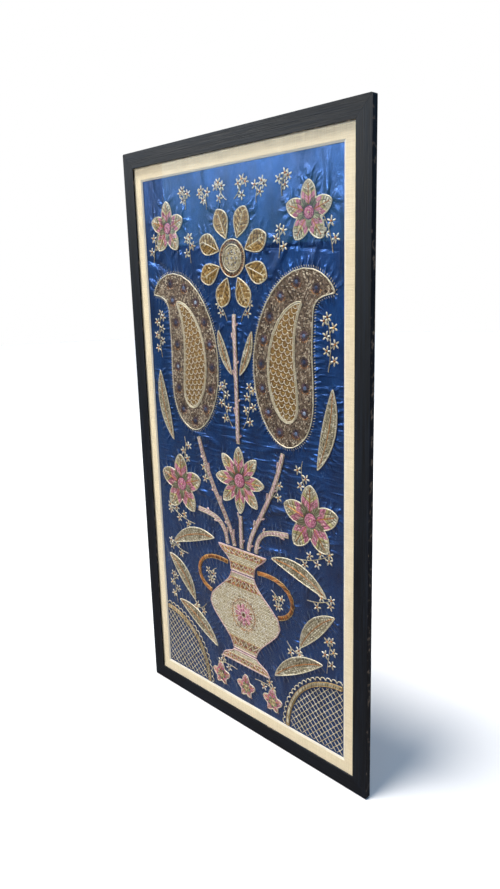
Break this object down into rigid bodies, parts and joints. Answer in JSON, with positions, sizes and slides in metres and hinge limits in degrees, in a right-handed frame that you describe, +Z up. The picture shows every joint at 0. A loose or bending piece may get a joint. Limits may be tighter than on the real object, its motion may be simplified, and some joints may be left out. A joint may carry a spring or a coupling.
{
  "type": "framed zardozi panel",
  "caption": "Tall wall panel of zardozi metal-thread embroidery on blue satin, glazed, with a linen mat and a flat black-stained wooden frame.",
  "frame": {"origin": "middle of the top rail's back face, where the panel meets the wall", "axes": "+Z up along the panel, +Y into the wall, so the panel faces -Y; +X to the viewer's right"},
  "size_m": [0.8, 0.016, 1.51],
  "materials": {
    "black_wood": "black-stained, open grain, satin lacquer",
    "glass": "clear picture glass",
    "linen": "cream linen cloth, fine plain weave",
    "satin": "royal blue satin",
    "hardboard": "plain brown hardboard",
    "gold_thread": "padded antique-gold metal thread",
    "bronze_thread": "textured bronze metal thread",
    "silver_thread": "silver-gilt metal thread",
    "cream_thread": "cream and silver metal thread",
    "copper_thread": "orange-gold metal thread",
    "pink_cord": "twisted dusty-pink and cream cord",
    "rose_silk": "rose and pale yellow silk satin stitch"
  },
  "bodies": {
    "root": {"backing_board": "hardboard", "fan_rim_left": "cream_thread", "fan_rim_right": "cream_thread", "flower_centre": "silver_thread", "flower_centre_button": "rose_silk", "flower_high_left": "silver_thread", "flower_high_left_button": "rose_silk", "flower_high_right": "silver_thread", "flower_high_right_button": "rose_silk", "flower_low_left": "silver_thread", "flower_low_left_button": "rose_silk", "flower_low_right": "silver_thread", "flower_low_right_button": "rose_silk", "glass": "glass", "leaf_base_left": "silver_thread", "leaf_base_right": "silver_thread", "leaf_mouth_left": "silver_thread", "leaf_mouth_right": "silver_thread", "leaf_outer_left": "silver_thread", "leaf_outer_right": "silver_thread", "leaf_side_left": "silver_thread", "leaf_side_right": "silver_thread", "leaf_upper_left": "silver_thread", "leaf_upper_right": "silver_thread", "linen_mat": "linen", "lotus_1": "rose_silk", "lotus_2": "rose_silk", "lotus_3": "rose_silk", "paisley_drop_left": "gold_thread", "paisley_drop_right": "gold_thread", "paisley_left": "bronze_thread", "paisley_right": "bronze_thread", "rail_bottom": "black_wood", "rail_left": "black_wood", "rail_right": "black_wood", "rail_top": "black_wood", "rosette_button": "cream_thread", "rosette_petal_1": "gold_thread", "rosette_petal_2": "gold_thread", "rosette_petal_3": "gold_thread", "rosette_petal_4": "gold_thread", "rosette_petal_5": "gold_thread", "rosette_petal_6": "gold_thread", "rosette_petal_7": "gold_thread", "rosette_petal_8": "gold_thread", "rosette_ring": "bronze_thread", "satin_ground": "satin", "stem_high": "pink_cord", "stem_inner_left": "pink_cord", "stem_inner_right": "pink_cord", "stem_low": "pink_cord", "stem_outer_left": "pink_cord", "stem_outer_right": "pink_cord", "vase_body": "cream_thread", "vase_foot": "cream_thread", "vase_handle_left": "copper_thread", "vase_handle_right": "copper_thread", "vase_neck": "cream_thread"}
  },
  "joints": []
}
